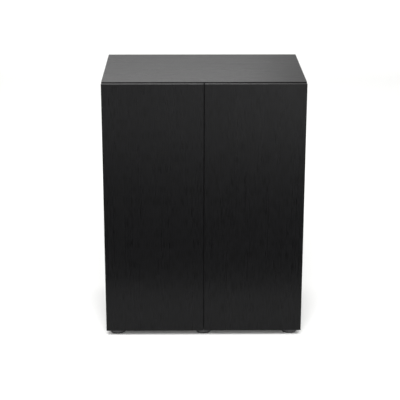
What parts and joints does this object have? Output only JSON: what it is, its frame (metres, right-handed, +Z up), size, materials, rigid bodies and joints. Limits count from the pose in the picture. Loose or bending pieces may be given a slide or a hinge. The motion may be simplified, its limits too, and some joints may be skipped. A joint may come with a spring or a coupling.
{
  "type": "aquarium stand cabinet",
  "caption": "Low black aquarium stand cabinet with full-overlay push-to-open doors on concealed hinges, a middle partition, a shelf and adjustable round feet.",
  "frame": {"origin": "middle of the footprint, on the floor", "axes": "+X to the right seen from the front, +Y to the rear, +Z up; the doors face -Y"},
  "size_m": [0.6, 0.4186, 0.8],
  "materials": {
    "door_board": "satin black melamine-faced chipboard, fine upright grain, ABS edge band",
    "top_board": "satin black melamine-faced chipboard, fine grain from side to side, ABS edge band",
    "carcass_board": "satin black melamine-faced chipboard, fine upright grain, ABS edge band",
    "shelf_board": "satin black melamine-faced chipboard, grain from side to side",
    "black_plastic": "moulded black plastic",
    "foot_plastic": "black glass-filled nylon, lightly textured",
    "sole_rubber": "black non-slip rubber",
    "nickel_steel": "nickel-plated pressed steel",
    "zinc_steel": "bright zinc-plated steel",
    "zinc_casting": "die-cast zinc",
    "beech": "bare beech",
    "magnet_nickel": "nickel-plated magnet"
  },
  "bodies": {
    "carcass": {"top_panel": "top_board", "bottom_panel": "top_board", "left_side_panel": "carcass_board", "right_side_panel": "carcass_board", "centre_partition": "carcass_board", "back_panel": "carcass_board", "shelf": "shelf_board", "shelf_pins": "nickel_steel", "cam_locks": "zinc_casting", "cam_caps": "black_plastic", "cam_bolts": "zinc_steel", "wooden_dowels": "beech", "foot_inserts": "zinc_steel", "left_hinge_plates": "nickel_steel", "right_hinge_plates": "nickel_steel", "left_hinge_arms": "nickel_steel", "right_hinge_arms": "nickel_steel", "hinge_plate_screws": "zinc_steel", "hinge_adjusting_screws": "zinc_steel", "hinge_arm_pins": "zinc_steel", "left_push_latch_housing": "black_plastic", "right_push_latch_housing": "black_plastic", "push_latch_screws": "zinc_steel"},
    "left_links": {"left_outer_links": "nickel_steel"},
    "left_door_leaf": {"left_door": "door_board", "left_hinge_cups": "nickel_steel", "left_cup_screws": "zinc_steel", "left_cup_pins": "zinc_steel", "left_strike_plate": "nickel_steel", "left_strike_screw": "zinc_steel"},
    "left_latch": {"left_latch_plunger": "black_plastic", "left_latch_magnet": "magnet_nickel"},
    "right_links": {"right_outer_links": "nickel_steel"},
    "right_door_leaf": {"right_door": "door_board", "right_hinge_cups": "nickel_steel", "right_cup_screws": "zinc_steel", "right_cup_pins": "zinc_steel", "right_strike_plate": "nickel_steel", "right_strike_screw": "zinc_steel"},
    "right_latch": {"right_latch_plunger": "black_plastic", "right_latch_magnet": "magnet_nickel"},
    "sole_left_front": {"foot_sole_left_front": "sole_rubber"},
    "foot_left_front": {"foot_screw_left_front": "foot_plastic"},
    "sole_centre_front": {"foot_sole_centre_front": "sole_rubber"},
    "foot_centre_front": {"foot_screw_centre_front": "foot_plastic"},
    "sole_right_front": {"foot_sole_right_front": "sole_rubber"},
    "foot_right_front": {"foot_screw_right_front": "foot_plastic"},
    "sole_left_rear": {"foot_sole_left_rear": "sole_rubber"},
    "foot_left_rear": {"foot_screw_left_rear": "foot_plastic"},
    "sole_centre_rear": {"foot_sole_centre_rear": "sole_rubber"},
    "foot_centre_rear": {"foot_screw_centre_rear": "foot_plastic"},
    "sole_right_rear": {"foot_sole_right_rear": "sole_rubber"},
    "foot_right_rear": {"foot_screw_right_rear": "foot_plastic"}
  },
  "joints": [
    {"name": "left_door_swing", "type": "hinge", "parent": "carcass", "child": "left_links", "pos_m": [-0.2918, -0.20135, 0.4085], "axis": [0, 0, -1], "range_deg": [0, 110.4]},
    {"name": "left_cup_swing", "type": "hinge", "parent": "left_links", "child": "left_door_leaf", "pos_m": [-0.2685, -0.19935, 0.4085], "axis": [0, 0, -1], "range_deg": [-10.5, 0]},
    {"name": "left_latch_slide", "type": "slide", "parent": "carcass", "child": "left_latch", "axis": [0, -1, 0], "range_m": [0, 0.02]},
    {"name": "right_door_swing", "type": "hinge", "parent": "carcass", "child": "right_links", "pos_m": [0.2918, -0.20135, 0.4085], "axis": [0, 0, 1], "range_deg": [0, 110.4]},
    {"name": "right_cup_swing", "type": "hinge", "parent": "right_links", "child": "right_door_leaf", "pos_m": [0.2685, -0.19935, 0.4085], "axis": [0, 0, 1], "range_deg": [-10.5, 0]},
    {"name": "right_latch_slide", "type": "slide", "parent": "carcass", "child": "right_latch", "axis": [0, -1, 0], "range_m": [0, 0.02]},
    {"name": "foot_lift_left_front", "type": "slide", "parent": "carcass", "child": "sole_left_front", "axis": [0, 0, -1], "range_m": [0, 0.008]},
    {"name": "foot_turn_left_front", "type": "hinge", "parent": "sole_left_front", "child": "foot_left_front", "pos_m": [-0.267, -0.164, 0.01], "axis": [0, 0, -1], "range_deg": [0, 2300]},
    {"name": "foot_lift_centre_front", "type": "slide", "parent": "carcass", "child": "sole_centre_front", "axis": [0, 0, -1], "range_m": [0, 0.008]},
    {"name": "foot_turn_centre_front", "type": "hinge", "parent": "sole_centre_front", "child": "foot_centre_front", "pos_m": [0, -0.164, 0.01], "axis": [0, 0, -1], "range_deg": [0, 2300]},
    {"name": "foot_lift_right_front", "type": "slide", "parent": "carcass", "child": "sole_right_front", "axis": [0, 0, -1], "range_m": [0, 0.008]},
    {"name": "foot_turn_right_front", "type": "hinge", "parent": "sole_right_front", "child": "foot_right_front", "pos_m": [0.267, -0.164, 0.01], "axis": [0, 0, -1], "range_deg": [0, 2300]},
    {"name": "foot_lift_left_rear", "type": "slide", "parent": "carcass", "child": "sole_left_rear", "axis": [0, 0, -1], "range_m": [0, 0.008]},
    {"name": "foot_turn_left_rear", "type": "hinge", "parent": "sole_left_rear", "child": "foot_left_rear", "pos_m": [-0.267, 0.1825, 0.01], "axis": [0, 0, -1], "range_deg": [0, 2300]},
    {"name": "foot_lift_centre_rear", "type": "slide", "parent": "carcass", "child": "sole_centre_rear", "axis": [0, 0, -1], "range_m": [0, 0.008]},
    {"name": "foot_turn_centre_rear", "type": "hinge", "parent": "sole_centre_rear", "child": "foot_centre_rear", "pos_m": [0, 0.1825, 0.01], "axis": [0, 0, -1], "range_deg": [0, 2300]},
    {"name": "foot_lift_right_rear", "type": "slide", "parent": "carcass", "child": "sole_right_rear", "axis": [0, 0, -1], "range_m": [0, 0.008]},
    {"name": "foot_turn_right_rear", "type": "hinge", "parent": "sole_right_rear", "child": "foot_right_rear", "pos_m": [0.267, 0.1825, 0.01], "axis": [0, 0, -1], "range_deg": [0, 2300]}
  ],
  "couplings": [
    {"joint": "left_cup_swing", "follows": "left_door_swing", "ratio": -0.094203},
    {"joint": "left_latch_slide", "follows": "left_door_swing", "m_per_rad": 0.01035},
    {"joint": "right_cup_swing", "follows": "right_door_swing", "ratio": -0.094203},
    {"joint": "right_latch_slide", "follows": "right_door_swing", "m_per_rad": 0.01035},
    {"joint": "foot_lift_left_front", "follows": "foot_turn_left_front", "m_per_rad": 0.00019894},
    {"joint": "foot_lift_centre_front", "follows": "foot_turn_centre_front", "m_per_rad": 0.00019894},
    {"joint": "foot_lift_right_front", "follows": "foot_turn_right_front", "m_per_rad": 0.00019894},
    {"joint": "foot_lift_left_rear", "follows": "foot_turn_left_rear", "m_per_rad": 0.00019894},
    {"joint": "foot_lift_centre_rear", "follows": "foot_turn_centre_rear", "m_per_rad": 0.00019894},
    {"joint": "foot_lift_right_rear", "follows": "foot_turn_right_rear", "m_per_rad": 0.00019894}
  ]
}
